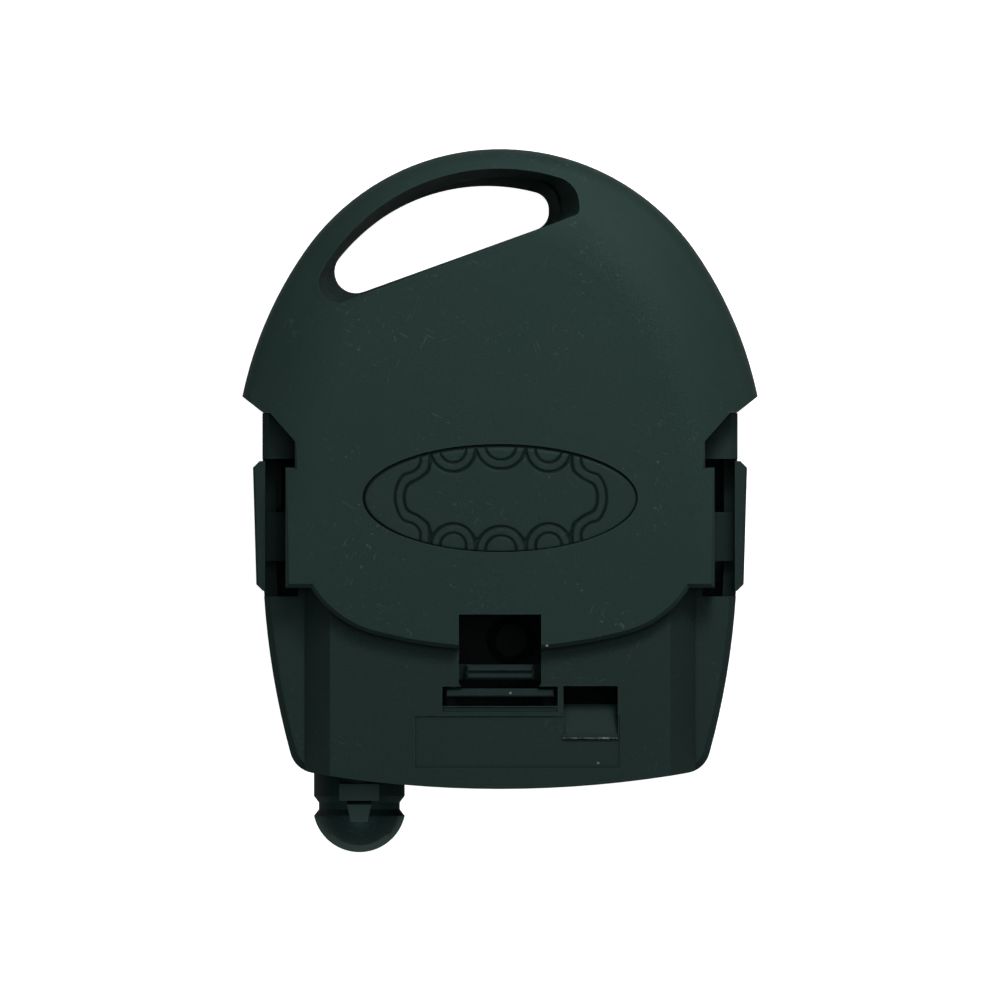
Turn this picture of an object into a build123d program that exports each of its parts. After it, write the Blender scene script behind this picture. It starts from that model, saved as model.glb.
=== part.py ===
from build123d import *
import os

# Key fob shell, lying on its front face with its back up.
# X runs across the fob, Y towards the domed head, Z through the thickness.
# All sizes are in millimetres.

# Remote case. The head's widths follow from its half width.
case_half_width = 21.4
flank_start_y = -4.0
lower_taper = 2.95
corner_y = -24.2
bottom_y = -25.92
corner_round = 2.4
case_side_height = 4.0
shoulder_ledge = 3.8
ridge_rise = 2.4
ridge_slope_width = 2.3
nose_top_y = 16.5
nose_corner_round = 5.0
case_wall = 1.2
front_wall = 1.3
case_front_round = 1.8
case_rear_chamfer = 0.6
lip_height = 0.8
lip_thickness = 0.55
lip_clearance = 0.05
slide_clearance = 0.1

# Head outline
crown_centre_y = 10.3
crown_half_angle = 55.0
shoulder_stand_out = 1.8
shoulder_y = 9.45
mouth_y = 8.0
mouth_slope = 0.78

# Head section
head_thickness = 15.0
rear_slope_width = 5.1
rear_slope_drop = 2.4
rear_crease_round = 13.0
rear_rim_round = 1.8
front_rim_round = 2.6
head_front_wall = 1.5

# Rear tongue of the head, with a tab on each side that fills the case's notch from above
tongue_thickness = 1.5
tongue_root_inset = 0.65
tongue_side_wall = 0.75
tongue_neck_y = 5.4
tongue_end_y = -13.45
tongue_end_radius = 44.6
tongue_corner_round = 9.5
tongue_edge_chamfer = 0.35
tab_width = 0.85
tab_end_gap = 0.8

# Keyring slot
slot_rim = 2.8
slot_floor_x = -11.6
slot_floor_drop = 12.85
slot_floor_angle = 20.4
slot_end_x = 4.5
slot_left_round = 1.9
slot_lower_round = 1.2
slot_upper_round = 2.2
flare_centre_y = 11.7
flare_inset = 2.95
flare_end_x = 7.4
flare_left_round = 1.8
flare_lower_round = 0.8
flare_upper_round = 2.2
flare_depth = 9.0

# Oval recess with its scalloped groove
oval_centre_y = 0.27
oval_half_length = 12.4
oval_half_height = 4.86
oval_depth = 0.4
groove_depth = 0.35
groove_width = 0.72
island_half_length = 8.8
island_core_half_length = 6.5
lobe_round = 1.9
scallop_spacing = 4.28
scallop_radius = 1.8
scallop_centre_y = 4.2

# Side loops of the front cover and the notches that they stand in
notch_top_y = 3.8
notch_bottom_y = -8.6
notch_ledge = 0.6
loop_top_y = 3.6
loop_bottom_y = -8.1
loop_thickness = 1.1
loop_stand_out = 0.85
loop_lean = 0.3
loop_corner = 0.6
loop_rise = 0.2
loop_bar_height = 2.9
loop_post_width = 1.4
loop_root_z = 4.2
loop_root_bite = 0.4
loop_edge_chamfer = 0.2
hook_top_y = -1.0
hook_bottom_y = -5.4
hook_nose_height = 0.3
hook_reach = 0.85
hook_clearance = 0.05
sliver_wall_gap = 0.1
sliver_width = 0.35
sliver_top_y = 2.9
sliver_length = 3.1

# Latch at the lower middle of the back
latch_half_width = 3.7
latch_top_y = -10.2
latch_bottom_y = -16.7
latch_corner = 0.25
slot_bar_half_width = 5.2
slot_bar_bottom_y = -18.45
arm_clearance = 0.2
arm_width = 0.85
finger_thickness = 0.9
finger_drop = 3.0
finger_root_y = -19.9
thumb_bar_half_width = 3.06
thumb_bar_y = -15.4
thumb_bar_width = 1.35
thumb_bar_drop = 1.0
thumb_bar_chamfer = 0.2
thumb_groove_width = 0.3
thumb_groove_depth = 0.25
wide_bar_side_gap = 0.35
wide_bar_y = -17.25
wide_bar_width = 0.75
wide_bar_drop = 0.4
wide_bar_chamfer = 0.12
catch_half_width = 1.8
catch_lip_height = 0.7
catch_lip_width = 0.9
catch_gap = 0.1
barb_half_width = 1.6
barb_width = 0.8
ledge_y = -19.0
ledge_width = 0.45
ledge_depth = 0.12

# Square window with its ramp
window_centre_x = 8.15
window_width = 4.9
window_top_y = -16.65
window_bottom_y = -21.06
ramp_top_y = -18.3
ramp_depth = 2.2
ramp_end_depth = 0.3
window_lip_width = 0.35
window_lip_height = 0.08

# Shallow bare rectangle
panel_left_x = -7.65
panel_right_x = 10.8
panel_top_y = -19.35
panel_bottom_y = -24.0
panel_depth = 0.12

# Blade socket
socket_inset = 8.71
socket_z = 5.7
socket_radius = 4.1
socket_groove_depth = 0.45
socket_groove_y = -27.5
socket_groove_floor = 0.6
socket_groove_slope = 0.6
socket_lip_y = -28.4
socket_end_y = -31.7
socket_rim = 0.45
socket_block_top_y = -14.5
socket_block_half_width = 3.9
socket_block_half_height = 3.4
socket_fit = 0.06
collar_half_width = 4.6
collar_height = 8.0
collar_y = -21.9
collar_thickness = 1.2
blade_slot_width = 5.0
blade_slot_height = 2.4
blade_slot_top_y = -17.0
land_half_width = 1.8
land_top_y = -25.5
land_bottom_y = -27.0
land_height = 0.15
nib_top_half_width = 1.1
nib_end_half_width = 0.75
nib_top_y = -27.35
nib_end_y = -28.9
pin_radius = 0.8
pin_y = -19.6
pin_fit = 0.03

# Buttons in the front face
button_recess = 0.25
button_gap = 0.25
button_round = 3.0
button_edge_chamfer = 0.35
flange_width = 0.7
flange_thickness = 0.6
upper_button_x = 8.0
upper_button_y = -0.6
upper_button_width = 11.2
upper_button_height = 9.0
boot_button_x = 1.0
boot_button_y = -12.6
boot_button_width = 13.0
boot_button_height = 8.0

# Silicone button pad
pad_margin = 1.3
pad_thickness = 0.7
pad_pocket_gap = 0.3
plunger_radius = 2.2
plunger_tip_radius = 1.4
plunger_height = 1.3
peg_radius = 0.7
peg_height = 2.6
peg_fit = 0.05
peg_places_y = (3.6, -4.8)

# Inside of the case
rib_thickness = 0.8
rib_reach = 1.4
rib_places_y = (5.4, -11.5)
board_z = 5.4
board_thickness = 1.0
cell_x = 2.6
cell_y = 3.6
cell_radius = 10.2
cell_wall = 0.8
cell_wall_height = 1.5

# Heights that follow from the head's thickness
ridge_z = head_thickness - tongue_thickness - slide_clearance
shoulder_z = ridge_z - ridge_rise
parting_z = shoulder_z - case_side_height
loop_top_z = shoulder_z + loop_rise
finger_top_z = ridge_z - finger_drop
thumb_bar_z = ridge_z - thumb_bar_drop
wide_bar_z = ridge_z - wide_bar_drop

# Widths that follow from the case's half width
corner_half_width = case_half_width - lower_taper
ridge_foot_half_width = case_half_width - shoulder_ledge
ridge_top_half_width = ridge_foot_half_width - ridge_slope_width
nose_half_width = ridge_foot_half_width
mouth_half_width = case_half_width
shoulder_half_width = case_half_width + shoulder_stand_out
crown_radius = case_half_width
slot_floor_y = crown_centre_y + crown_radius - slot_floor_drop
slot_arc_radius = crown_radius - slot_rim
flare_arc_radius = crown_radius - flare_inset
tongue_root_half_width = case_half_width - tongue_root_inset
tongue_half_width = ridge_foot_half_width + slide_clearance + tongue_side_wall
notch_inner_x = ridge_foot_half_width + notch_ledge
loop_outer_x = case_half_width + loop_stand_out
loop_inner_x = loop_outer_x - loop_thickness
socket_x = socket_inset - case_half_width

# Working values. Cuts run past a face by past, and joined forms meet by overlap or touch.
rear_inner_z = ridge_z - case_wall
plate_under_z = ridge_z + slide_clearance
nose_front_z = head_front_wall + slide_clearance
case_top_y = mouth_y - slide_clearance
loop_window_top_z = loop_top_z - loop_bar_height
barb_y = latch_top_y + catch_lip_width + catch_gap
arm_inner_x = latch_half_width + arm_clearance
arm_outer_x = arm_inner_x + arm_width
flange_z = front_wall + flange_thickness
pad_rear_z = flange_z + pad_thickness
far = 60.0
past = 1.0
overlap = 0.1
touch = 0.01


def block(x_low, x_high, y_low, y_high, z_low, z_high):
    """A box between two corners."""
    size = (x_high - x_low, y_high - y_low, z_high - z_low)
    middle = ((x_low + x_high) / 2, (y_low + y_high) / 2, (z_low + z_high) / 2)
    return Pos(*middle) * Box(*size)


def raised(face, z_low, z_high):
    """A flat outline lifted to z_low and drawn up to z_high."""
    return extrude(Pos(0, 0, z_low) * face, z_high - z_low)


def both_sides(shape):
    """A shape and its mirror image across the middle of the fob."""
    return [shape, mirror(shape, Plane.YZ)]


def closed_half(edges):
    """A closed face from the right half of an outline that starts and ends on the middle."""
    half = Curve() + edges
    return make_face(half + mirror(half, Plane.YZ))


def at_height(shape, z):
    """The edges of a shape that lie wholly at one height."""
    return shape.edges().filter_by_position(Axis.Z, z - 1e-3, z + 1e-3)


def head_plan():
    """The domed outline, run on below the shoulders so that its slopes end cleanly."""
    crown = CenterArc((0, crown_centre_y), crown_radius, 90, -crown_half_angle)
    side = TangentArc(crown @ 1, (shoulder_half_width, shoulder_y), tangent=crown % 1)
    skirt = Line(side @ 1, side @ 1 + (side % 1) * far / 2)
    foot = Line(skirt @ 1, (0, (skirt @ 1).Y))
    return closed_half([crown, side, skirt, foot])


def body_plan(inset=0):
    """The remote's outline below the head's mouth, moved inwards all round by inset."""
    rise = flank_start_y - corner_y
    lean = case_half_width - corner_half_width
    flank_radius = (rise**2 + lean**2) / (2 * lean)
    sag = corner_y - bottom_y
    bottom_radius = (corner_half_width**2 + sag**2) / (2 * sag)
    top_y = case_top_y - inset
    height = top_y - flank_start_y
    upper = Pos(0, flank_start_y + height / 2) * Rectangle(2 * case_half_width - 2 * inset, height)
    flank = Pos(case_half_width - flank_radius, flank_start_y) * Circle(flank_radius - inset)
    bottom = Pos(0, bottom_y + bottom_radius) * Circle(bottom_radius - inset)
    below = Pos(0, flank_start_y - far / 2) * Rectangle(2 * far, far)
    face = upper + (flank & mirror(flank, Plane.YZ) & bottom & below)
    return fillet(face.vertices().group_by(Axis.Y)[0], corner_round - inset)


def nose_plan(inset=0):
    """The part of the remote that goes up into the head, moved inwards by inset."""
    height = nose_top_y - inset - flank_start_y
    face = Pos(0, flank_start_y + height / 2) * Rectangle(2 * nose_half_width - 2 * inset, height)
    return fillet(face.vertices().group_by(Axis.Y)[-1], nose_corner_round - inset)


def case_section():
    """The back of the remote seen along the fob: low shoulders and a raised ridge."""
    points = [
        (far, -far),
        (far, shoulder_z),
        (ridge_foot_half_width, shoulder_z),
        (ridge_top_half_width, ridge_z),
        (-ridge_top_half_width, ridge_z),
        (-ridge_foot_half_width, shoulder_z),
        (-far, shoulder_z),
        (-far, -far),
    ]
    return make_face(Polyline(points, close=True))


def case_bar(grow):
    """The back's section as a bar along Y, grown or shrunk all round by one amount."""
    section = offset(case_section(), grow, kind=Kind.INTERSECTION)
    return extrude(Plane.XZ * section, far, both=True)


def case_plan(inset=0):
    """The whole remote in plan, with its nose."""
    return body_plan(inset) + nose_plan(inset)


def rear_outside():
    """The rear cover's outer form: shoulders with a bevelled rim, and the ridge between them."""
    shoulders = raised(body_plan(), parting_z, shoulder_z)
    rims = at_height(shoulders, shoulder_z).filter_by(lambda e: e.center().Y < case_top_y - overlap)
    shoulders = chamfer(rims, case_rear_chamfer)
    foot = block(-ridge_foot_half_width, ridge_foot_half_width, -far, far, parting_z, ridge_z)
    ridge = raised(case_plan(), parting_z, ridge_z) & case_bar(0) & foot
    return shoulders + ridge


def rear_inside():
    """The hollow of the rear cover."""
    hollow = raised(case_plan(case_wall), parting_z - far, rear_inner_z) & case_bar(-case_wall)
    for notch in side_notches(case_wall, 0):
        hollow -= notch
    return hollow & block(-far, far, -far, far, parting_z, far)


def side_notches(grow, z_low):
    """The two notches in the case that the loops stand in."""
    inner = notch_inner_x - grow
    notch = block(inner, far, notch_bottom_y - grow, notch_top_y + grow, z_low, far)
    return both_sides(notch)


def keyring_plan(centre_y, arc_radius, end_x, left_round, lower_round, upper_round):
    """The slot: a slanting floor under an arc that follows the crown, with three round corners."""
    disc = Pos(0, centre_y) * Circle(arc_radius)
    above = Pos(slot_floor_x, slot_floor_y) * Rot(0, 0, slot_floor_angle)
    above = above * Pos(0, far / 2) * Rectangle(2 * far, far)
    left = Pos(end_x - far / 2, 0) * Rectangle(far, 2 * far)
    face = (disc & above) & left
    face = fillet(face.vertices().sort_by(Axis.X)[0], left_round)
    end = face.vertices().filter_by_position(Axis.X, end_x - touch, end_x + touch)
    face = fillet(end.sort_by(Axis.Y)[0], lower_round)
    end = face.vertices().filter_by_position(Axis.X, end_x - touch, end_x + touch)
    return fillet(end.sort_by(Axis.Y)[-1], upper_round)


def keyring_slot():
    """The through slot with the flare that opens towards the back."""
    hole_rounds = (slot_left_round, slot_lower_round, slot_upper_round)
    flare_rounds = (flare_left_round, flare_lower_round, flare_upper_round)
    hole = keyring_plan(crown_centre_y, slot_arc_radius, slot_end_x, *hole_rounds)
    mouth = keyring_plan(flare_centre_y, flare_arc_radius, flare_end_x, *flare_rounds)
    start_z = head_thickness - flare_depth
    flare = loft([Pos(0, 0, start_z) * hole, Pos(0, 0, head_thickness) * mouth], ruled=True)
    return raised(hole, -past, start_z + touch) + flare


def scalloped_plan(grow):
    """The oval's island: a core with a lobe at each end, and three scallops above and below."""
    core = Rectangle(2 * (island_core_half_length + grow), 2 * oval_half_height)
    lobe_x = island_half_length - lobe_round
    lobes = [Pos(side * lobe_x, 0) * Circle(lobe_round + grow) for side in (-1, 1)]
    island = core + lobes
    bites = [
        Pos(step * scallop_spacing, side * scallop_centre_y) * Circle(scallop_radius - grow)
        for step in (-1, 0, 1)
        for side in (-1, 1)
    ]
    return Pos(0, oval_centre_y) * (island - bites)


def oval_recess():
    """What is cut from the tongue for the oval and for the groove round its island."""
    oval = Pos(0, oval_centre_y) * Ellipse(oval_half_length, oval_half_height)
    floor_z = head_thickness - oval_depth
    hollow = raised(oval, floor_z, head_thickness + past)
    band = (scalloped_plan(groove_width) - scalloped_plan(0)) & oval
    return hollow + raised(band, floor_z - groove_depth, floor_z + touch)


def below_mouth():
    """What the head's mouth leaves open, from the shoulder tips down."""
    points = [
        (0, mouth_y),
        (mouth_half_width, mouth_y),
        (mouth_half_width + far, mouth_y + mouth_slope * far),
        (mouth_half_width + far, -far),
        (0, -far),
    ]
    face = make_face(Polyline(points, close=True))
    return face + mirror(face, Plane.YZ)


def tongue_plan():
    """The rear tongue, with the short diagonals where it leaves the dome, and its two side tabs."""
    sides = [
        (0, mouth_y + past),
        (tongue_root_half_width, mouth_y + past),
        (tongue_root_half_width, mouth_y),
        (tongue_half_width, tongue_neck_y),
        (tongue_half_width, tongue_end_y - past),
        (0, tongue_end_y - past),
    ]
    face = make_face(Polyline(sides, close=True))
    face = face + mirror(face, Plane.YZ)
    end = Pos(0, tongue_end_y + tongue_end_radius) * Circle(tongue_end_radius)
    face = face & end
    corners = face.vertices().filter_by(lambda v: v.Y < tongue_neck_y - past)
    face = fillet(corners, tongue_corner_round)
    tab_length = notch_top_y - notch_bottom_y - 2 * tab_end_gap
    tab_middle_y = (notch_top_y + notch_bottom_y) / 2
    return face + Pos(0, tab_middle_y) * Rectangle(2 * (tongue_half_width + tab_width), tab_length)


def latch_plan():
    """The latch window, with slanting lower corners."""
    points = [
        (0, latch_top_y),
        (latch_half_width, latch_top_y),
        (latch_half_width, latch_bottom_y + latch_corner),
        (latch_half_width - latch_corner, latch_bottom_y),
        (0, latch_bottom_y),
    ]
    face = make_face(Polyline(points, close=True))
    return face + mirror(face, Plane.YZ)


def catch_lip():
    """The lip under the tongue that the latch finger holds back."""
    lip_end_y = latch_top_y + catch_lip_width
    low_z = plate_under_z - catch_lip_height
    top_z = plate_under_z + overlap
    return block(-catch_half_width, catch_half_width, latch_top_y, lip_end_y, low_z, top_z)


def head_pocket():
    """The room in the head for the remote, with its sliding clearance."""
    bar = case_bar(slide_clearance)
    room = raised(nose_plan(-slide_clearance), head_front_wall, plate_under_z) & bar
    return room + (bar & block(-far, far, -far, mouth_y, -far, far))


def head_shell():
    """The dome with its slot, and the tongue over the remote's back."""
    slab = extrude(head_plan(), head_thickness)
    top = slab.faces().sort_by(Axis.Z)[-1]
    rims = top.edges().filter_by(lambda e: e.center().Y > -far / 4)
    slab = chamfer(rims, rear_slope_width, rear_slope_drop, reference=top)
    crease = at_height(slab, head_thickness).filter_by(lambda e: e.center().Y > -far / 4)
    slab = fillet(crease, rear_crease_round)
    rim = at_height(slab, head_thickness - rear_slope_drop)
    slab = fillet(rim.filter_by(lambda e: e.center().Y > -far / 4), rear_rim_round)
    front = at_height(slab, 0).filter_by(lambda e: e.center().Y > -far / 4)
    slab = fillet(front, front_rim_round)
    dome = slab - raised(below_mouth(), -far, far)
    tongue = raised(tongue_plan(), shoulder_z, head_thickness)
    edges = at_height(tongue, head_thickness).filter_by(lambda e: e.center().Y < tongue_neck_y - past)
    tongue = chamfer(edges, tongue_edge_chamfer) & slab
    head = dome + tongue
    head -= head_pocket()
    head -= raised(latch_plan(), 0, far)
    head += catch_lip()
    head -= keyring_slot()
    return head - oval_recess()


def catch_way():
    """The groove that the catch lip runs along, from the latch to the end of the nose."""
    half = catch_half_width + slide_clearance
    low_z = plate_under_z - catch_lip_height - slide_clearance
    return block(-half, half, latch_top_y, far, low_z, far)


def finger_bar(half_width, middle_y, width, top_z):
    """A bar across the latch finger, from the finger's underside up to top_z."""
    low_z = finger_top_z - finger_thickness
    half = width / 2
    return block(-half_width, half_width, middle_y - half, middle_y + half, low_z, top_z)


def latch_finger():
    """The springy frame round the latch window: two hidden arms, with the barb, thumb bar and wide bar."""
    low_z = finger_top_z - finger_thickness
    barb_end_y = barb_y + barb_width
    arms = both_sides(block(arm_inner_x, arm_outer_x, finger_root_y, barb_end_y, low_z, finger_top_z))
    barb_middle_y = barb_y + barb_width / 2
    tip = finger_bar(arm_outer_x, barb_middle_y, barb_width, finger_top_z)
    barb = finger_bar(barb_half_width, barb_middle_y, barb_width, plate_under_z - catch_gap)
    thumb_base = finger_bar(arm_outer_x, thumb_bar_y, thumb_bar_width, finger_top_z)
    thumb = finger_bar(thumb_bar_half_width, thumb_bar_y, thumb_bar_width, thumb_bar_z)
    thumb = chamfer(at_height(thumb, thumb_bar_z), thumb_bar_chamfer)
    groove_half = thumb_groove_width / 2
    thumb -= block(
        -thumb_bar_half_width,
        thumb_bar_half_width,
        thumb_bar_y - groove_half,
        thumb_bar_y + groove_half,
        thumb_bar_z - thumb_groove_depth,
        thumb_bar_z + past,
    )
    wide = finger_bar(slot_bar_half_width - wide_bar_side_gap, wide_bar_y, wide_bar_width, wide_bar_z)
    wide = chamfer(at_height(wide, wide_bar_z), wide_bar_chamfer)
    root = block(
        -arm_outer_x, arm_outer_x, finger_root_y, slot_bar_bottom_y, low_z, rear_inner_z + overlap
    )
    return Part() + arms + [tip, barb, thumb_base, thumb, wide, root]


def latch_opening():
    """The latch window, the wide slot below it and the room for the barb above it."""
    wide_slot = block(
        -slot_bar_half_width,
        slot_bar_half_width,
        slot_bar_bottom_y,
        latch_bottom_y + touch,
        rear_inner_z - past,
        far,
    )
    half = catch_half_width + slide_clearance
    room_end_y = barb_y + barb_width + 2 * catch_gap
    barb_room = block(-half, half, latch_top_y - past, room_end_y, rear_inner_z - past, far)
    return raised(latch_plan(), rear_inner_z - past, far) + [wide_slot, barb_room]


def square_window():
    """The square window's hole and the wedge of its ramp, as one cutter."""
    left = window_centre_x - window_width / 2
    right = window_centre_x + window_width / 2
    hole = block(left, right, ramp_top_y, window_top_y, parting_z + lip_height, far)
    wedge = [
        (ramp_top_y + touch, ridge_z - ramp_depth),
        (ramp_top_y + touch, ridge_z + past),
        (window_bottom_y, ridge_z + past),
        (window_bottom_y, ridge_z - ramp_end_depth),
    ]
    profile = Plane.YZ.offset(left) * make_face(Polyline(wedge, close=True))
    return hole + extrude(profile, window_width)


def window_housing():
    """The closed pocket behind the ramp."""
    left = window_centre_x - window_width / 2 - rib_thickness
    right = window_centre_x + window_width / 2 + rib_thickness
    low_z = ridge_z - ramp_depth - rib_thickness
    return block(left, right, window_bottom_y - rib_thickness, ramp_top_y, low_z, rear_inner_z + overlap)


def window_lip():
    """The thin raised lip along the lower edge of the square window."""
    left = window_centre_x - window_width / 2
    right = window_centre_x + window_width / 2
    low_z = ridge_z - panel_depth - overlap
    lip_y = window_bottom_y - window_lip_width
    return block(left, right, lip_y, window_bottom_y, low_z, ridge_z + window_lip_height)


def surface_marks():
    """The shallow bare rectangle and the thin ledge above it."""
    floor_z = ridge_z - panel_depth
    panel = block(panel_left_x, panel_right_x, panel_bottom_y, panel_top_y, floor_z, far)
    ledge_z = ridge_z - ledge_depth
    ledge_end = ledge_y + ledge_width
    ledge = block(-slot_bar_half_width, slot_bar_half_width, ledge_y, ledge_end, ledge_z, far)
    return panel + ledge


def hooks():
    """The two hooks on the rear cover that the loops catch."""
    top_z = loop_window_top_z - hook_clearance
    reach = loop_inner_x + hook_reach
    points = [
        (notch_inner_x - overlap, parting_z + hook_clearance),
        (reach, top_z - hook_nose_height),
        (reach, top_z),
        (notch_inner_x - overlap, top_z),
    ]
    profile = Plane.XZ.offset(-hook_bottom_y) * make_face(Polyline(points, close=True))
    return both_sides(extrude(profile, hook_bottom_y - hook_top_y))


def closing_lip():
    """The lip round the rear cover that goes down inside the front cover's walls."""
    outer = case_wall + lip_clearance
    ring = case_plan(outer) - case_plan(outer + lip_thickness)
    lip = raised(ring, parting_z - lip_height, parting_z + overlap)
    return lip - side_notches(case_wall, 0) - socket_collar(socket_fit)


def cell_cradle():
    """The round wall on the rear cover's inside that holds the coin cell."""
    ring = Circle(cell_radius + cell_wall) - Circle(cell_radius)
    gap = Rectangle(cell_radius, 3 * cell_radius)
    low_z = rear_inner_z - cell_wall_height
    return raised(Pos(cell_x, cell_y) * (ring - gap), low_z, rear_inner_z + overlap)


def side_ribs(z_low, z_high):
    """Small ribs along both inner flanks, which hold the board between the covers."""
    inner_x = ridge_foot_half_width - case_wall - rib_reach
    half = rib_thickness / 2
    ribs = []
    for y in rib_places_y:
        ribs += both_sides(block(inner_x, far / 2, y - half, y + half, z_low, z_high))
    return ribs


def socket_hole():
    """The round way through the case's lower wall for the blade socket's neck."""
    place = Plane.XZ.offset(-collar_y) * Pos(socket_x, socket_z)
    return extrude(place * Circle(socket_radius + socket_fit), far / 4)


def rear_cover():
    """The back half of the remote's case."""
    cover = rear_outside() - rear_inside()
    ribs = rear_inside() & (Part() + side_ribs(board_z + board_thickness, far))
    cover += [ribs, cell_cradle(), window_housing(), closing_lip()]
    cover -= side_notches(0, parting_z)
    cover += hooks()
    cover -= latch_opening()
    cover -= catch_way()
    cover -= square_window()
    cover -= surface_marks()
    cover += window_lip()
    cover += latch_finger()
    return cover - socket_hole()


def loops():
    """The side loops, each a leaning bar on two posts round an open window, rooted in the case's wall."""
    foot_x = loop_outer_x - loop_lean
    points = [
        (loop_inner_x, loop_top_y),
        (loop_outer_x - loop_corner, loop_top_y),
        (loop_outer_x, loop_top_y - loop_corner),
        (foot_x, loop_bottom_y + loop_corner),
        (foot_x - loop_corner, loop_bottom_y),
        (loop_inner_x, loop_bottom_y),
    ]
    plate = raised(make_face(Polyline(points, close=True)), loop_root_z, loop_top_z)
    plate = chamfer(at_height(plate, loop_top_z).sort_by(Axis.X)[-1], loop_edge_chamfer)
    plate -= block(
        0,
        far,
        loop_bottom_y + loop_post_width,
        loop_top_y - loop_post_width,
        parting_z,
        loop_window_top_z,
    )
    root = block(
        loop_inner_x - loop_root_bite,
        loop_inner_x + overlap,
        loop_bottom_y,
        loop_top_y,
        loop_root_z,
        parting_z,
    )
    return both_sides(plate + root)


def button_places():
    """Each button's name, place and size."""
    return {
        "lock_button": (-upper_button_x, upper_button_y, upper_button_width, upper_button_height),
        "unlock_button": (upper_button_x, upper_button_y, upper_button_width, upper_button_height),
        "boot_button": (boot_button_x, boot_button_y, boot_button_width, boot_button_height),
    }


def button_plan(place, grow):
    """A button's rounded outline, grown all round by one amount."""
    x, y, width, height = place
    return Pos(x, y) * RectangleRounded(width + 2 * grow, height + 2 * grow, button_round + grow)


def button_cap(place):
    """A hard cap with the flange that keeps it behind the front wall."""
    cap = raised(button_plan(place, 0), button_recess, front_wall + overlap)
    cap = chamfer(at_height(cap, button_recess), button_edge_chamfer)
    return cap + raised(button_plan(place, flange_width), front_wall, flange_z)


def front_cover():
    """The front half of the remote's case, with its side loops."""
    body = raised(body_plan(), 0, parting_z)
    rims = at_height(body, 0).filter_by(lambda e: e.center().Y < case_top_y - overlap)
    body = fillet(rims, case_front_round)
    cover = body + raised(nose_plan(), nose_front_z, parting_z)
    inside = raised(body_plan(case_wall), front_wall, far)
    inside += raised(nose_plan(case_wall), nose_front_z + front_wall, far)
    cover -= inside
    ribs = inside & (Part() + side_ribs(0, board_z)) & block(-far, far, -far, far, 0, board_z)
    cover += ribs
    cover += cradle() & inside
    cover += loops()
    for place in button_places().values():
        cover -= raised(button_plan(place, button_gap), -past, front_wall + past)
    peg_z = front_wall + peg_height / 2
    cover += [Pos(0, y, peg_z) * Cylinder(peg_radius, peg_height) for y in peg_places_y]
    sliver_x = -(case_half_width - case_wall - sliver_wall_gap - sliver_width)
    cover -= block(
        sliver_x - sliver_width,
        sliver_x,
        sliver_top_y - sliver_length,
        sliver_top_y,
        -past,
        front_wall + past,
    )
    return cover - socket_hole()


def cradle():
    """The pair of ribs in the front cover that hold the socket's collar."""
    gap = collar_thickness / 2 + socket_fit
    ribs = []
    for side in (-1, 1):
        near = collar_y + side * gap
        far_face = near + side * rib_thickness
        ribs.append(
            block(
                socket_x - collar_half_width,
                socket_x + collar_half_width,
                min(near, far_face),
                max(near, far_face),
                0,
                socket_z,
            )
        )
    return Part() + ribs - socket_core(socket_fit)


def socket_core(grow):
    """The socket's inner block and the start of its neck, grown all round by one amount."""
    half_w = socket_block_half_width + grow
    half_h = socket_block_half_height + grow
    core = block(
        socket_x - half_w,
        socket_x + half_w,
        collar_y,
        socket_block_top_y + grow,
        socket_z - half_h,
        socket_z + half_h,
    )
    neck = Plane.XZ.offset(-collar_y) * Pos(socket_x, socket_z) * Circle(socket_radius + grow)
    return core + extrude(neck, 2 * collar_thickness)


def socket_collar(grow):
    """The collar that keeps the socket from being pulled out."""
    half_w = collar_half_width + grow
    half_t = collar_thickness / 2 + grow
    return block(
        socket_x - half_w,
        socket_x + half_w,
        collar_y - half_t,
        collar_y + half_t,
        socket_z - collar_height / 2 - grow,
        socket_z + collar_height / 2 + grow,
    )


def socket_neck():
    """The socket's neck with the groove round it, down to the lip."""
    groove_radius = socket_radius - socket_groove_depth
    floor_top_y = socket_groove_y + socket_groove_floor / 2
    floor_end_y = socket_groove_y - socket_groove_floor / 2
    points = [
        (0, collar_y),
        (socket_radius, collar_y),
        (socket_radius, floor_top_y + socket_groove_slope),
        (groove_radius, floor_top_y),
        (groove_radius, floor_end_y),
        (socket_radius, socket_lip_y),
        (0, socket_lip_y),
    ]
    profile = make_face(Polyline(points, close=True))
    return Pos(socket_x, 0, socket_z) * revolve(profile, Axis.Y)


def socket_cap():
    """The socket's round end: a bowl up to the floor of the blade slot, and a smaller ball on it."""
    height = socket_lip_y - socket_end_y
    rim_radius = (socket_radius**2 + height**2) / (2 * height)
    bowl_radius = (rim_radius**2 + (blade_slot_height / 2) ** 2) ** 0.5
    centre = Pos(socket_x, socket_end_y + rim_radius, socket_z)
    floor_z = socket_z - blade_slot_height / 2
    end_y = socket_lip_y + touch
    bowl = centre * Sphere(bowl_radius) & block(-far, far, -far, end_y, -far, floor_z)
    ball = centre * Sphere(rim_radius - socket_rim) & block(-far, far, -far, end_y, floor_z, far)
    return bowl + ball


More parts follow.
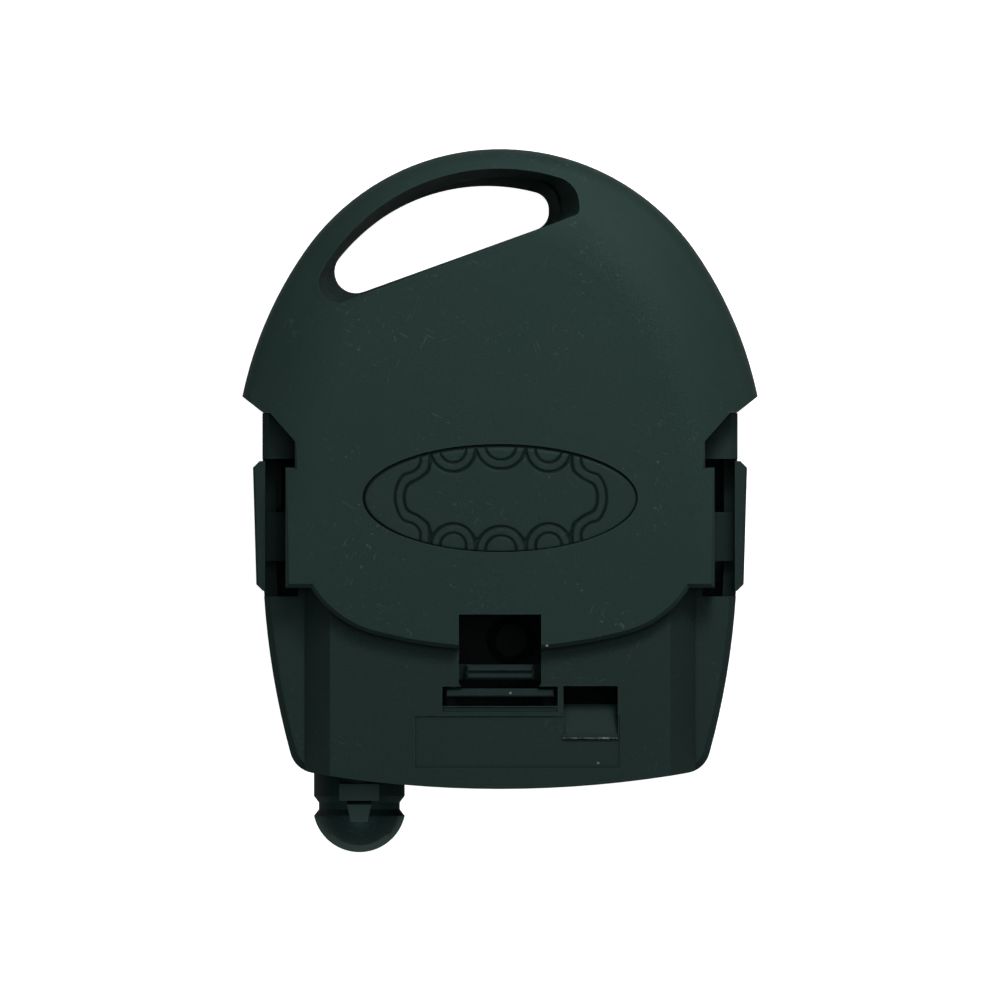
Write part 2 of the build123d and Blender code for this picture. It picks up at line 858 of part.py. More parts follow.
def blade_socket():
    """The round-ended stub that the blade goes into, with the block that holds it in the case."""
    stub = socket_neck() + socket_cap()
    top_z = socket_z + socket_radius + land_height
    land = block(
        socket_x - land_half_width,
        socket_x + land_half_width,
        land_bottom_y,
        land_top_y,
        socket_z,
        top_z,
    )
    nib_points = [
        (-nib_top_half_width, nib_top_y),
        (nib_top_half_width, nib_top_y),
        (nib_end_half_width, nib_end_y),
        (-nib_end_half_width, nib_end_y),
    ]
    nib = raised(Pos(socket_x, 0) * make_face(Polyline(nib_points, close=True)), socket_z, top_z)
    socket = stub + [socket_core(0), socket_collar(0), land, nib]
    slot = block(
        socket_x - blade_slot_width / 2,
        socket_x + blade_slot_width / 2,
        socket_end_y - past,
        blade_slot_top_y,
        socket_z - blade_slot_height / 2,
        socket_z + blade_slot_height / 2,
    )
    hole = Pos(socket_x, pin_y, socket_z) * Cylinder(pin_radius + pin_fit, far)
    return socket - slot - hole


def blade_pin():
    """The pin across the socket."""
    return Pos(socket_x, pin_y, socket_z) * Cylinder(pin_radius, 2 * socket_block_half_height)


def button_pad():
    """The silicone mat, with a pocket and a plunger behind each cap."""
    places = button_places().values()
    reach = flange_width + pad_pocket_gap + pad_margin
    outline = Sketch() + [button_plan(place, reach) for place in places]
    bridge = Pos(0, upper_button_y) * Rectangle(2 * upper_button_x, upper_button_height + 2 * reach)
    pad = raised(outline + bridge, front_wall, pad_rear_z)
    pad -= [raised(button_plan(place, flange_width + pad_pocket_gap), 0, flange_z) for place in places]
    for x, y, _, _ in places:
        base = Pos(x, y, pad_rear_z + plunger_height / 2)
        pad += base * Cone(plunger_radius, plunger_tip_radius, plunger_height)
    pad -= [Pos(0, y, front_wall) * Cylinder(peg_radius + peg_fit, far) for y in peg_places_y]
    return pad


os.makedirs("parts", exist_ok=True)
nodes = {
    "head_shell": head_shell(),
    "rear_cover": rear_cover(),
    "front_cover": front_cover(),
    "blade_socket": blade_socket(),
    "blade_pin": blade_pin(),
    "button_pad": button_pad(),
}
for name, place in button_places().items():
    nodes[name] = button_cap(place)
for name, shape in nodes.items():
    export_step(shape, f"parts/{name}.step")
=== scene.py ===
import logging
from dataclasses import dataclass, replace
from enum import Enum
from math import asin, atan2, cos, hypot, pi, radians, sin, sqrt
from random import Random

import bmesh
import bpy
from mathutils import Matrix, Vector


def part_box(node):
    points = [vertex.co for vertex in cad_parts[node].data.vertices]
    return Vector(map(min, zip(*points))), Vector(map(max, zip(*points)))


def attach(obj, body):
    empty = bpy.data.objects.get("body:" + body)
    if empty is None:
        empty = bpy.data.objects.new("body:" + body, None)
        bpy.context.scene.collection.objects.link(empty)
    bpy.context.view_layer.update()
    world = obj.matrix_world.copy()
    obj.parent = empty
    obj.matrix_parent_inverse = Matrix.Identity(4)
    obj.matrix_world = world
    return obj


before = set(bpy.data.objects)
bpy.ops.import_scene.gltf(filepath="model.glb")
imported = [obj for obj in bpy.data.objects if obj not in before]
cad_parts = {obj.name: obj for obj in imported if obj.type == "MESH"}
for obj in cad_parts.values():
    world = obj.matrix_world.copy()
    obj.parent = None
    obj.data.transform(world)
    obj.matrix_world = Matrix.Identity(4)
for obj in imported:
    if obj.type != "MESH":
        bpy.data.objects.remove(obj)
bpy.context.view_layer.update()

log = logging.getLogger("key_fob_shell")

MM = 0.001

# Vertices closer than this are joined.
WELD_DISTANCE = 1e-7

# The colour sockets of a Mix node, among those of its other data types.
MIX_FIRST, MIX_SECOND, MIX_RESULT = 6, 7, 2

# Each family of scratches: its turn in radians, and how many times longer than wide they are.
SCRATCH_WAYS = ((0.35, 10.0), (1.15, 7.0), (1.95, 12.0), (2.75, 8.0))

# Each kind of painted shade in corners and gaps: its input, how far it looks for other faces, and
# from where to where it grows.
CREVICE_SHADE_KINDS = (("Corners", 0.40 * MM, 0.06, 0.34), ("Gaps", 3.5 * MM, 0.42, 0.80))

Point = tuple[float, float]
Place = tuple[float, float, float]
Colour = tuple[float, float, float]
Node = bpy.types.ShaderNode
Socket = bpy.types.NodeSocket
Tree = bpy.types.NodeTree
Material = bpy.types.Material
Mesh = bmesh.types.BMesh


class Slot(Enum):
    """Names of the record's material slots; the added pieces are not given them here."""

    HEAD = "head_plastic"
    CASE = "case_plastic"
    BUTTON = "button_plastic"


class Symbol(Enum):
    """The plain signs on the button caps."""

    CLOSED_PADLOCK = "closed_padlock"
    OPEN_PADLOCK = "open_padlock"
    OPEN_BOOT = "open_boot"


def new_group(name: str, inputs: dict[str, float], output: str) -> Tree:
    """An empty shader group with number inputs and one number as its output.

    Args:
        name: The group's name.
        inputs: Each input's name and its default value.
        output: The output's name.

    Returns:
        The group, with its input and output nodes in place.
    """
    group = bpy.data.node_groups.new(name, "ShaderNodeTree")
    sockets = group.interface
    for socket, value in inputs.items():
        made = sockets.new_socket(name=socket, in_out="INPUT", socket_type="NodeSocketFloat")
        made.default_value = value
    sockets.new_socket(name=output, in_out="OUTPUT", socket_type="NodeSocketFloat")
    group.nodes.new("NodeGroupInput")
    group.nodes.new("NodeGroupOutput")
    return group


def ends(group: Tree) -> tuple[Node, Node]:
    """The input and the output node of a group."""
    return group.nodes["Group Input"], group.nodes["Group Output"]


def maths(tree: Tree, operation: str, first: object, second: object = None) -> Socket:
    """A Math node on two sockets or numbers.

    Args:
        tree: The node tree.
        operation: Blender's name of the operation.
        first: A socket or a number.
        second: A socket, a number or nothing.

    Returns:
        The node's output socket.
    """
    node = tree.nodes.new("ShaderNodeMath")
    node.operation = operation
    for place, value in enumerate((first, second)):
        if isinstance(value, Socket):
            tree.links.new(value, node.inputs[place])
        elif value is not None:
            node.inputs[place].default_value = value
    return node.outputs[0]


def product(tree: Tree, first: Socket, *others: object) -> Socket:
    """A socket multiplied by other sockets or numbers, one after the other.

    Args:
        tree: The node tree.
        first: The first socket.
        others: The other sockets and numbers.

    Returns:
        The product's socket.
    """
    total = first
    for value in others:
        total = maths(tree, "MULTIPLY", total, value)
    return total


def object_point(tree: Tree) -> Socket:
    """The Object coordinates, in metres."""
    return tree.nodes.new("ShaderNodeTexCoord").outputs["Object"]


def object_height(tree: Tree) -> Socket:
    """The Z of the Object coordinates, in metres."""
    split = tree.nodes.new("ShaderNodeSeparateXYZ")
    tree.links.new(object_point(tree), split.inputs["Vector"])
    return split.outputs["Z"]


def noise(
    tree: Tree, scale: object, detail: float, roughness: float, point: object = None
) -> Socket:
    """A Noise texture.

    Args:
        tree: The node tree.
        scale: A socket or a number, in waves for each metre.
        detail: How many finer layers it has.
        roughness: How strong the finer layers are.
        point: The coordinates, or nothing for the Object coordinates.

    Returns:
        The noise's value.
    """
    node = tree.nodes.new("ShaderNodeTexNoise")
    node.inputs["Detail"].default_value = detail
    node.inputs["Roughness"].default_value = roughness
    tree.links.new(object_point(tree) if point is None else point, node.inputs["Vector"])
    if isinstance(scale, Socket):
        tree.links.new(scale, node.inputs["Scale"])
    else:
        node.inputs["Scale"].default_value = scale
    return node.outputs["Fac"]


def ramp(tree: Tree, value: Socket, low: float, high: float) -> Socket:
    """A value stretched so that low becomes 0 and high becomes 1.

    Args:
        tree: The node tree.
        value: The socket to stretch.
        low: What becomes 0.
        high: What becomes 1.

    Returns:
        The stretched and clamped value.
    """
    node = tree.nodes.new("ShaderNodeMapRange")
    node.inputs["From Min"].default_value = low
    node.inputs["From Max"].default_value = high
    tree.links.new(value, node.inputs["Value"])
    return node.outputs["Result"]


@dataclass(frozen=True)
class Pattern:
    """A noise stretched between two of its values."""

    per_metre: float
    detail: float
    roughness: float
    low: float
    high: float

    def mask(self, tree: Tree, point: object = None) -> Socket:
        """The pattern as a mask between 0 and 1.

        Args:
            tree: The node tree.
            point: The coordinates, or nothing for the Object coordinates.

        Returns:
            The mask's socket.
        """
        value = noise(tree, self.per_metre, self.detail, self.roughness, point)
        return ramp(tree, value, self.low, self.high)


SPECKS = Pattern(per_metre=2100.0, detail=2.0, roughness=0.5, low=0.68, high=0.76)
PATCHES = Pattern(per_metre=150.0, detail=2.0, roughness=0.5, low=0.45, high=0.62)
SCRATCHES = Pattern(per_metre=620.0, detail=1.0, roughness=0.5, low=0.71, high=0.77)
UNEVEN_RUBBING = Pattern(per_metre=700.0, detail=3.0, roughness=0.6, low=0.35, high=0.7)
CLOUDS = Pattern(per_metre=90.0, detail=4.0, roughness=0.55, low=0.35, high=0.68)


def spark_grain() -> Tree:
    """The fine spark-eroded grain of a mould, as a height between 0 and 1."""
    pit_share, level = 0.6, 0.7
    group = new_group("spark_grain", {"Grains per metre": 5200.0}, "Height")
    start, end = ends(group)
    pits = group.nodes.new("ShaderNodeTexVoronoi")
    pits.feature = "SMOOTH_F1"
    group.links.new(object_point(group), pits.inputs["Vector"])
    group.links.new(start.outputs["Grains per metre"], pits.inputs["Scale"])
    cloud = noise(group, start.outputs["Grains per metre"], detail=3.0, roughness=0.6)
    height = maths(group, "ADD", product(group, pits.outputs["Distance"], pit_share), cloud)
    group.links.new(product(group, height, level), end.inputs["Height"])
    return group


def handling_marks() -> Tree:
    """Small pale specks and short scratches left by handling, as a mask between 0 and 1."""
    group = new_group("handling_marks", {"Specks": 0.5, "Scratches": 0.5}, "Mask")
    start, end = ends(group)
    specks = SPECKS.mask(group)
    patches = PATCHES.mask(group)
    specks = product(group, specks, patches, start.outputs["Specks"])
    lines = None
    for turn, stretch in SCRATCH_WAYS:
        mapping = group.nodes.new("ShaderNodeMapping")
        mapping.vector_type = "TEXTURE"
        mapping.inputs["Rotation"].default_value = (0.0, 0.0, turn)
        mapping.inputs["Scale"].default_value = (1.0 / stretch, 1.0, 1.0)
        group.links.new(object_point(group), mapping.inputs["Vector"])
        mask = SCRATCHES.mask(group, mapping.outputs["Vector"])
        lines = mask if lines is None else maths(group, "MAXIMUM", lines, mask)
    lines = product(group, lines, patches, start.outputs["Scratches"])
    total = maths(group, "MAXIMUM", specks, lines)
    group.links.new(maths(group, "MINIMUM", total, 1.0), end.inputs["Mask"])
    return group


def rubbed_edges() -> Tree:
    """Where an outer edge is rubbed, as a mask between 0 and 1."""
    group = new_group("rubbed_edges", {"Reach": 0.25 * MM, "Amount": 0.5}, "Mask")
    start, end = ends(group)
    rounded = group.nodes.new("ShaderNodeBevel")
    rounded.samples = 4
    group.links.new(start.outputs["Reach"], rounded.inputs["Radius"])
    surface = group.nodes.new("ShaderNodeNewGeometry")
    likeness = group.nodes.new("ShaderNodeVectorMath")
    likeness.operation = "DOT_PRODUCT"
    group.links.new(rounded.outputs["Normal"], likeness.inputs[0])
    group.links.new(surface.outputs["Normal"], likeness.inputs[1])
    turned = maths(group, "SUBTRACT", 1.0, likeness.outputs["Value"])
    bend = ramp(group, turned, low=0.02, high=0.25)
    uneven = UNEVEN_RUBBING.mask(group)
    group.links.new(product(group, bend, uneven, start.outputs["Amount"]), end.inputs["Mask"])
    return group


def painted_crevice_shade() -> Tree:
    """Where shade is painted into corners and gaps, as a mask between 0 and 1."""
    group = new_group("painted_crevice_shade", {"Corners": 0.6, "Gaps": 0.8}, "Mask")
    start, end = ends(group)
    masks = []
    for socket, reach, low, high in CREVICE_SHADE_KINDS:
        near = group.nodes.new("ShaderNodeAmbientOcclusion")
        near.samples = 8
        near.inputs["Distance"].default_value = reach
        closed = maths(group, "SUBTRACT", 1.0, near.outputs["AO"])
        masks.append(product(group, ramp(group, closed, low, high), start.outputs[socket]))
    group.links.new(maths(group, "MAXIMUM", *masks), end.inputs["Mask"])
    return group


@dataclass(frozen=True)
class GroupSet:
    """The shader groups that the finishes share, each built once."""

    grain: Tree
    marks: Tree
    edges: Tree
    painted_shade: Tree


def place_group(tree: Tree, group: Tree, values: dict[str, float]) -> Node:
    """A shared group placed in a material with its own values.

    Args:
        tree: The material's tree.
        group: The shared group.
        values: Input names and numbers.

    Returns:
        The group node.
    """
    node = tree.nodes.new("ShaderNodeGroup")
    node.node_tree = group
    for name, value in values.items():
        node.inputs[name].default_value = value
    return node


def blend_colour(tree: Tree, factor: Socket, first: object, second: Colour) -> Socket:
    """Two colours mixed by a factor.

    Args:
        tree: The material's tree.
        factor: The mask.
        first: The colour or colour socket at 0.
        second: The colour at 1.

    Returns:
        The mixed colour's socket.
    """
    node = tree.nodes.new("ShaderNodeMix")
    node.data_type = "RGBA"
    tree.links.new(factor, node.inputs["Factor"])
    if isinstance(first, Socket):
        tree.links.new(first, node.inputs[MIX_FIRST])
    else:
        node.inputs[MIX_FIRST].default_value = (*first, 1.0)
    node.inputs[MIX_SECOND].default_value = (*second, 1.0)
    return node.outputs[MIX_RESULT]


def new_material(name: str) -> tuple[Material, Tree, Node]:
    """A new material, its tree and its Principled shader."""
    made = bpy.data.materials.new(name)
    made.use_nodes = True
    return made, made.node_tree, made.node_tree.nodes["Principled BSDF"]


def add_bump(tree: Tree, shader: Node, height: Socket, depth: float, strength: float) -> None:
    """Bumps given to a shader.

    Args:
        tree: The material's tree.
        shader: The shader.
        height: The bumps' height between 0 and 1.
        depth: How deep a height of 1 is.
        strength: How strongly the bumps turn the surface.
    """
    bump = tree.nodes.new("ShaderNodeBump")
    bump.inputs["Strength"].default_value = strength
    bump.inputs["Distance"].default_value = depth
    tree.links.new(height, bump.inputs["Height"])
    tree.links.new(bump.outputs["Normal"], shader.inputs["Normal"])


@dataclass(frozen=True)
class MouldedFinish:
    """A moulded plastic or rubber, from its grain to its rubbed edges."""

    name: str
    colour: Colour
    cloudy_colour: Colour
    rubbed_colour: Colour
    roughness: float
    roughness_spread: float
    grains_per_metre: float
    grain_depth: float
    specks: float
    scratches: float
    rubbed: float
    # How strongly shade is painted into corners and into gaps, and the colour of that painted
    # shade.
    corners: float = 0.75
    gaps: float = 0.92
    painted_shade_colour: Colour = (0.0012, 0.0030, 0.0030)
    gloss: float = 0.15
    gloss_tint: Colour = (0.60, 1.0, 0.92)
    clouds: Pattern = CLOUDS
    bump_strength: float = 0.6
    worn_shine: float = 0.08

    def faced(self, tree: Tree, base: Socket) -> Socket:
        """The base colour, where a subclass paints light or shade on some faces.

        Args:
            tree: The material's tree; not used here.
            base: The base colour.

        Returns:
            The base colour as it is.
        """
        return base

    def material(self, groups: GroupSet) -> Material:
        """The finish as a material.

        Args:
            groups: The shared shader groups.

        Returns:
            The new material.
        """
        made, tree, shader = new_material(self.name)
        shader.inputs["Specular IOR Level"].default_value = self.gloss
        shader.inputs["Specular Tint"].default_value = (*self.gloss_tint, 1.0)

        handled = {"Specks": self.specks, "Scratches": self.scratches}
        shade_amounts = {"Corners": self.corners, "Gaps": self.gaps}
        grain = place_group(tree, groups.grain, {"Grains per metre": self.grains_per_metre})
        marks = place_group(tree, groups.marks, handled)
        edges = place_group(tree, groups.edges, {"Amount": self.rubbed})
        painted_shade = place_group(tree, groups.painted_shade, shade_amounts)

        cloud = self.clouds.mask(tree)
        base = self.faced(tree, blend_colour(tree, cloud, self.colour, self.cloudy_colour))
        worn = maths(tree, "MAXIMUM", marks.outputs["Mask"], edges.outputs["Mask"])
        colour = blend_colour(tree, worn, base, self.rubbed_colour)
        # Painted shade: corners and gaps are darkened towards the painted shade colour.
        colour = blend_colour(tree, painted_shade.outputs["Mask"], colour, self.painted_shade_colour)
        tree.links.new(colour, shader.inputs["Base Color"])

        rough = maths(tree, "ADD", product(tree, cloud, self.roughness_spread), self.roughness)
        rough = maths(tree, "SUBTRACT", rough, product(tree, worn, self.worn_shine))
        tree.links.new(rough, shader.inputs["Roughness"])

        add_bump(tree, shader, grain.outputs["Height"], self.grain_depth, self.bump_strength)
        return made


@dataclass(frozen=True)
class FacedFinish(MouldedFinish):
    """A smooth moulding whose raised faces and flat rim are painted paler, as painted highlights.
    """

    # Painted highlights: the colours in which the raised faces and the flat rim are painted.
    face_highlight_colour: Colour = (0.0125, 0.0215, 0.0198)
    rim_highlight_colour: Colour = (0.030, 0.046, 0.042)
    raised_from: float = 9.87 * MM
    rim_up_to: float = 4.56 * MM

    def faced(self, tree: Tree, base: Socket) -> Socket:
        """The base colour with painted highlights on the raised faces and the rim.

        Args:
            tree: The material's tree.
            base: The base colour.

        Returns:
            The mixed colour's socket.
        """
        height = object_height(tree)
        raised = maths(tree, "GREATER_THAN", height, self.raised_from)
        rim = maths(tree, "LESS_THAN", height, self.rim_up_to)
        # Painted highlight on the raised faces, then on the rim.
        faces = blend_colour(tree, raised, base, self.face_highlight_colour)
        return blend_colour(tree, rim, faces, self.rim_highlight_colour)


@dataclass(frozen=True)
class LinedFinish(MouldedFinish):
    """A grained moulding with shade painted into its sunk fine lines."""

    lines_from: float = 14.775 * MM
    lines_to: float = 14.70 * MM
    # How strongly shade is painted into the lines, and the colour of that painted shade.
    line_shade_strength: float = 0.9
    line_shade_colour: Colour = (0.0016, 0.0050, 0.0042)

    def faced(self, tree: Tree, base: Socket) -> Socket:
        """The base colour with painted shade in the lines.

        Args:
            tree: The material's tree.
            base: The base colour.

        Returns:
            The mixed colour's socket.
        """
        # Painted shade: the lower the surface lies in a line, the darker it is painted.
        sunk = ramp(tree, object_height(tree), self.lines_from, self.lines_to)
        painted_shade = product(tree, sunk, self.line_shade_strength)
        return blend_colour(tree, painted_shade, base, self.line_shade_colour)


@dataclass(frozen=True)
class SteelFinish:
    """Ground steel with lines round its axis."""

    name: str = "ground_pin_steel"
    colour: Colour = (0.50, 0.50, 0.51)
    dull_colour: Colour = (0.34, 0.33, 0.32)
    lines_per_metre: float = 9000.0
    line_stretch: Place = (0.05, 0.05, 1.0)
    line_depth: float = 0.01 * MM
    specks: float = 0.8
    scratches: float = 0.3
    roughness: float = 0.24
    roughness_spread: float = 0.2

    def material(self, groups: GroupSet) -> Material:
        """The finish as a material.

        Args:
            groups: The shared shader groups.

        Returns:
            The new material.
        """
        made, tree, shader = new_material(self.name)
        shader.inputs["Metallic"].default_value = 1.0
        mapping = tree.nodes.new("ShaderNodeMapping")
        mapping.inputs["Scale"].default_value = self.line_stretch
        tree.links.new(object_point(tree), mapping.inputs["Vector"])
        along = mapping.outputs["Vector"]
        lines = noise(tree, self.lines_per_metre, detail=2.0, roughness=0.5, point=along)
        handled = {"Specks": self.specks, "Scratches": self.scratches}
        marks = place_group(tree, groups.marks, handled)
        dull = ramp(tree, lines, low=0.4, high=0.7)
        shade = maths(tree, "MAXIMUM", dull, marks.outputs["Mask"])
        colour = blend_colour(tree, shade, self.colour, self.dull_colour)
        tree.links.new(colour, shader.inputs["Base Color"])
        rough = maths(tree, "ADD", product(tree, shade, self.roughness_spread), self.roughness)
        tree.links.new(rough, shader.inputs["Roughness"])
        add_bump(tree, shader, lines, self.line_depth, strength=1.0)
        return made


HEAD_PLASTIC = MouldedFinish(
    name="head_grained_plastic",
    colour=(0.0130, 0.0245, 0.0218),
    cloudy_colour=(0.0152, 0.0275, 0.0246),
    rubbed_colour=(0.052, 0.075, 0.068),
    roughness=0.55,
    roughness_spread=0.12,
    grains_per_metre=5200.0,
    grain_depth=0.035 * MM,
    specks=0.55,
    scratches=0.35,
    rubbed=0.30,
)

RELIEF_PLASTIC = LinedFinish(
    name="relief_grained_plastic",
    colour=(0.0126, 0.0228, 0.0204),
    cloudy_colour=(0.0146, 0.0256, 0.0230),
    rubbed_colour=(0.052, 0.075, 0.068),
    roughness=0.55,
    roughness_spread=0.12,
    grains_per_metre=5200.0,
    grain_depth=0.035 * MM,
    specks=0.55,
    scratches=0.35,
    rubbed=0.0,
    corners=0.5,
)

CASE_PLASTIC = MouldedFinish(
    name="case_grained_plastic",
    colour=(0.0100, 0.0185, 0.0170),
    cloudy_colour=(0.0118, 0.0210, 0.0192),
    rubbed_colour=(0.042, 0.060, 0.055),
    roughness=0.55,
    roughness_spread=0.10,
    grains_per_metre=5600.0,
    grain_depth=0.030 * MM,
    specks=0.35,
    scratches=0.25,
    rubbed=0.35,
)

SOCKET_PLASTIC = FacedFinish(
    name="socket_satin_plastic",
    colour=(0.0026, 0.0072, 0.0070),
    cloudy_colour=(0.0034, 0.0088, 0.0084),
    rubbed_colour=(0.032, 0.048, 0.044),
    roughness=0.46,
    roughness_spread=0.12,
    grains_per_metre=7000.0,
    grain_depth=0.012 * MM,
    specks=0.30,
    scratches=0.40,
    rubbed=0.25,
    corners=0.35,
    gaps=0.25,
    gloss=0.08,
)

PAD_RUBBER = MouldedFinish(
    name="pad_silicone",
    colour=(0.010, 0.011, 0.012),
    cloudy_colour=(0.014, 0.015, 0.016),
    rubbed_colour=(0.040, 0.042, 0.044),
    roughness=0.72,
    roughness_spread=0.15,
    grains_per_metre=4000.0,
    grain_depth=0.02 * MM,
    specks=0.8,
    scratches=0.0,
    rubbed=0.10,
)

BUTTON_PLASTIC = MouldedFinish(
    name="button_satin_plastic",
    colour=(0.0150, 0.0185, 0.0185),
    cloudy_colour=(0.0185, 0.0225, 0.0225),
    rubbed_colour=(0.070, 0.078, 0.078),
    roughness=0.44,
    roughness_spread=0.12,
    grains_per_metre=6400.0,
    grain_depth=0.015 * MM,
    specks=0.30,
    scratches=0.55,
    rubbed=0.45,
)

SIGN_PRINT = MouldedFinish(
    name="button_sign_print",
    colour=(0.42, 0.44, 0.43),
    cloudy_colour=(0.52, 0.54, 0.53),
    rubbed_colour=(0.16, 0.17, 0.17),
    roughness=0.55,
    roughness_spread=0.15,
    grains_per_metre=6400.0,
    grain_depth=0.01 * MM,
    specks=0.9,
    scratches=0.6,
    rubbed=0.5,
)

WORN_PLASTIC = MouldedFinish(
    name="worn_pale_plastic",
    colour=(0.020, 0.030, 0.028),
    cloudy_colour=(0.20, 0.23, 0.22),
    rubbed_colour=(0.26, 0.29, 0.28),
    roughness=0.70,
    roughness_spread=0.10,
    grains_per_metre=9000.0,
    grain_depth=0.02 * MM,
    specks=1.0,
    scratches=0.0,
    rubbed=0.0,
    corners=0.2,
    gaps=0.0,
    clouds=replace(CLOUDS, per_metre=900.0),
)

PIN_STEEL = SteelFinish()


def finished_object(name: str, mesh: Mesh, body: str, look: Material) -> None:
    """A new piece with its material, riding on its body.

    Args:
        name: The piece's name.
        mesh: Its shape, in metres and in place.
        body: The body that it rides on.
        look: Its material.
    """
    bmesh.ops.remove_doubles(mesh, verts=mesh.verts, dist=WELD_DISTANCE)
    bmesh.ops.recalc_face_normals(mesh, faces=mesh.faces)
    data = bpy.data.meshes.new(name)
    mesh.to_mesh(data)
    mesh.free()
    data.materials.append(look)
    piece = bpy.data.objects.new(name, data)
    bpy.context.scene.collection.objects.link(piece)
    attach(piece, body)


def dress_nodes(nodes: tuple[str, ...], look: Material) -> None:
    """Carried-over CAD nodes given a finish.

    Args:
        nodes: The nodes' names.
        look: Their material.
    """
    for name in nodes:
        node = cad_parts[name]
        node.material_slots[0].material = look
        log.info("%s dressed in %s", name, look.name)


def lift_grown(mesh: Mesh, grown: dict[str, list], height: float) -> None:
    """The vertices that an extrusion made, moved up or down.

    Args:
        mesh: The mesh.
        grown: What the extrusion gave back.
        height: How far they go up, or less than 0 for down.
    """
    verts = [part for part in grown["geom"] if isinstance(part, bmesh.types.BMVert)]
    bmesh.ops.translate(mesh, verts=verts, vec=(0.0, 0.0, height))


def open_edges(mesh: Mesh) -> list[bmesh.types.BMEdge]:
    """The edges at which only one face ends."""
    return [edge for edge in mesh.edges if edge.is_boundary]


def close_below(mesh: Mesh, depth: float) -> None:
    """A sheet closed by a skirt round it and a bottom.

    Args:
        mesh: The sheet.
        depth: How far the skirt goes down.
    """
    grown = bmesh.ops.extrude_edge_only(mesh, edges=open_edges(mesh))
    lift_grown(mesh, grown, -depth)
    bmesh.ops.edgeloop_fill(mesh, edges=open_edges(mesh))


@dataclass
class Head:
    """The domed head with its tongue."""

    finish: MouldedFinish = HEAD_PLASTIC

    def dress(self, groups: GroupSet) -> None:
        """Gives the head its grained plastic."""
        dress_nodes(("head_shell",), self.finish.material(groups))


@dataclass
class OvalRelief:
    """The oval recess in the tongue, with a lobed island inside a double line.

    The sheet lies just above the recess's own floor. Beyond the oval it is sunk in the tongue. The
    line along the oval's edge is broad at the top, where the photograph shows the edge's shadow.
    """

    finish: MouldedFinish = RELIEF_PLASTIC
    centre_x: float = 0.06 * MM
    centre_y: float = 0.27 * MM
    half_length: float = 12.4 * MM
    half_height: float = 4.86 * MM
    sheet_half_length: float = 12.8 * MM
    sheet_half_height: float = 5.2 * MM
    columns: int = 380
    rows: int = 154
    floor_z: float = 14.80 * MM
    sunk_z: float = 14.5 * MM
    skirt: float = 0.15 * MM
    line_depth: float = 0.16 * MM
    line_half_width: float = 0.21 * MM
    outer_line_share: float = 0.9
    edge_line_share: float = 1.6
    edge_line_growth: float = 1.4
    edge_line_least: float = 0.45
    band_width: float = 0.82 * MM
    lobe_x: float = 6.3 * MM
    lobe_radius: float = 2.4 * MM
    core_half_length: float = 6.6 * MM
    blend: float = 0.5 * MM
    scallops: tuple[Place, ...] = (
        (0.10 * MM, 4.70 * MM, 2.10 * MM),
        (4.30 * MM, 4.34 * MM, 2.00 * MM),
        (8.40 * MM, 3.35 * MM, 1.93 * MM),
    )

    def edge_gap(self, x: float, y: float) -> float:
        """How far a point lies inside the oval's edge, or less than 0 outside it.

        Args:
            x: Its place across the fob from the oval's middle.
            y: Its place along the fob from the oval's middle.

        Returns:
            The gap in metres.
        """
        share = hypot(x / self.half_length, y / self.half_height)
        steepness = hypot(x / self.half_length**2, y / self.half_height**2)
        return (1 - share) * share / steepness if steepness > 0 else self.half_height

    def island_gap(self, x: float, y: float) -> float:
        """How far a point lies outside the island, or less than 0 on it.

        Args:
            x: Its place across the fob from the oval's middle.
            y: Its place along the fob from the oval's middle.

        Returns:
            The gap in metres.
        """
        core = abs(x) - self.core_half_length
        lobe = hypot(abs(x) - self.lobe_x, y) - self.lobe_radius
        gap = self.softened(core, lobe, -1.0)
        for step, lift, radius in self.scallops:
            gap = self.softened(gap, radius - hypot(abs(x) - step, abs(y) - lift), 1.0)
        return gap

    def softened(self, first: float, second: float, sign: float) -> float:
        """The larger or smaller of two gaps, with the corner between them rounded.

        Args:
            first: One gap.
            second: The other gap.
            sign: 1 for the larger gap, or -1 for the smaller.

        Returns:
            The rounded gap in metres.
        """
        near = max(self.blend - abs(first - second), 0.0)
        sharp = max(first, second) if sign > 0 else min(first, second)
        return sharp + sign * near * near / (4 * self.blend)

    def dip(self, gap: float, share: float = 1.0) -> float:
        """How deep a moulded line is at a distance from its middle.

        Args:
            gap: The distance from the line's middle.
            share: How wide and deep the line is against a full one.

        Returns:
            The depth in metres.
        """
        near = max(1 - abs(gap) / (self.line_half_width * share), 0.0)
        return self.line_depth * min(share, 1.0) * near * near * (3 - 2 * near)

    def height(self, x: float, y: float) -> float:
        """The sheet's height at a point.

        Args:
            x: Its place across the fob from the oval's middle.
            y: Its place along the fob from the oval's middle.

        Returns:
            The height in metres.
        """
        edge = self.edge_gap(x, y)
        if edge < 0:
            return self.sunk_z
        island = self.island_gap(x, y)
        growth = self.edge_line_growth * y / self.half_height
        lines = (
            self.dip(edge, max(self.edge_line_share + growth, self.edge_line_least)),
            self.dip(island),
            self.dip(island - self.band_width, self.outer_line_share),
        )
        return self.floor_z - max(lines)

    def build(self, groups: GroupSet) -> None:
        """Makes the relief and gives it the head's plastic.

        Args:
            groups: The shared shader groups.
        """
        mesh = bmesh.new()
        bmesh.ops.create_grid(mesh, x_segments=self.columns, y_segments=self.rows, size=1.0)
        for vert in mesh.verts:
            x, y = vert.co.x * self.sheet_half_length, vert.co.y * self.sheet_half_height
            vert.co = (x + self.centre_x, y + self.centre_y, self.height(x, y))
        close_below(mesh, self.skirt)
        for face in mesh.faces:
            face.smooth = True
        finished_object("oval_relief", mesh, "head", self.finish.material(groups))
        log.info("oval_relief laid in the tongue")


